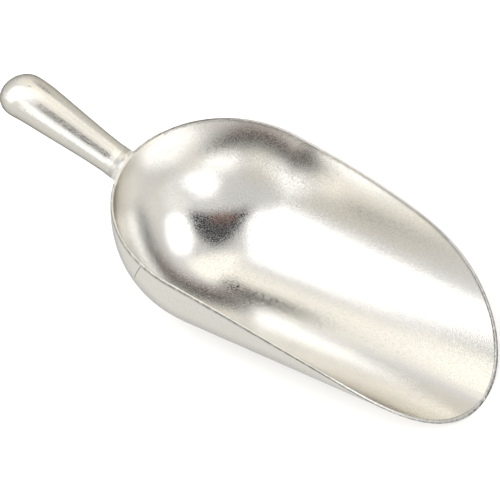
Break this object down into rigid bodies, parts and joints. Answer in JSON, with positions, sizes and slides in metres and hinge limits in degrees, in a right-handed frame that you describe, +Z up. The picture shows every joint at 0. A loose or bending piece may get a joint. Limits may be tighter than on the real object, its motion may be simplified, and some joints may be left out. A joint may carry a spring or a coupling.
{
  "type": "ice scoop",
  "caption": "Cast aluminium ice scoop: round-backed open trough with a sloping rim and rounded lip, and a hollow bulb-ended handle tilted up behind it.",
  "frame": {"origin": "on the surface the scoop rests on, below the middle of the whole object's box", "axes": "+X from the handle towards the lip, +Z up out of the bowl's mouth, +Y to the left of someone looking along +X; the trough's underside lies along X on z = 0"},
  "size_m": [0.363, 0.16, 0.1198],
  "materials": {
    "polished_casting": "tumble-polished cast aluminium with a fine grain",
    "polished_handle": "polished cast aluminium with a fine grain",
    "stud_steel": "plain steel stud",
    "dressed_weld": "weld metal dressed flush and polished"
  },
  "bodies": {
    "root": {"bowl": "polished_casting", "handle": "polished_handle", "handle_stud": "stud_steel", "neck_weld": "dressed_weld"}
  },
  "joints": []
}
